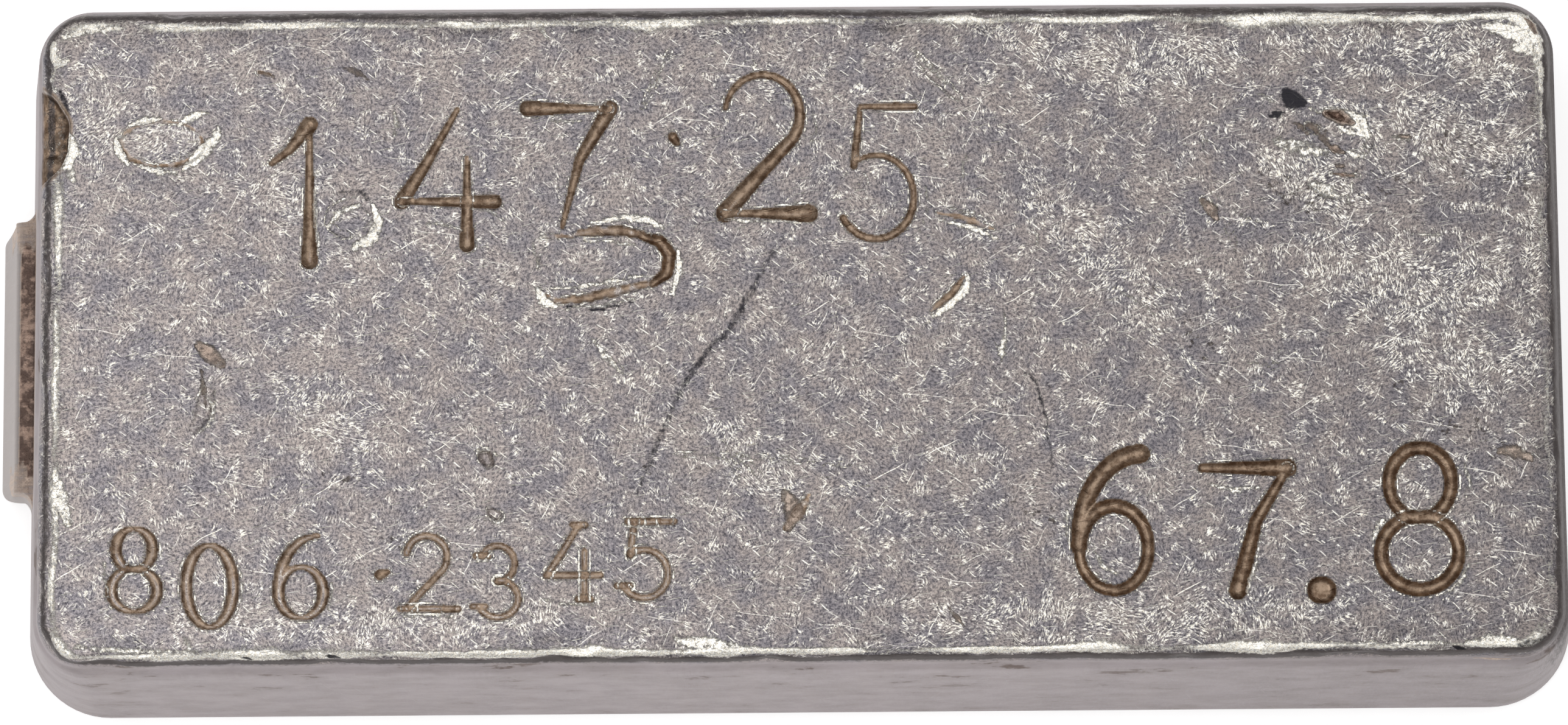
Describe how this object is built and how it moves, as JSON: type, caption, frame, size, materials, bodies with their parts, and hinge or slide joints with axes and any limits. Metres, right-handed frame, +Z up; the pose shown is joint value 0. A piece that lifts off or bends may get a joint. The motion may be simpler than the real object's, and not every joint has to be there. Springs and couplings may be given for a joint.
{
  "type": "silver bar",
  "caption": "Hand-poured silver bar with drafted sides, rounded corners and the sawn stub of a pouring lip at one end.",
  "frame": {"origin": "on the floor, under the middle of the overall length and width", "axes": "+Z up, out of the struck face; +X along the bar, away from the pouring lip; +Y across the bar"},
  "size_m": [0.0778, 0.035, 0.0125],
  "materials": {
    "silver": "as-cast fine silver, worn and tarnished, dull grey with fine bright scratches"
  },
  "bodies": {
    "root": {"silver_bar": "silver"}
  },
  "joints": []
}
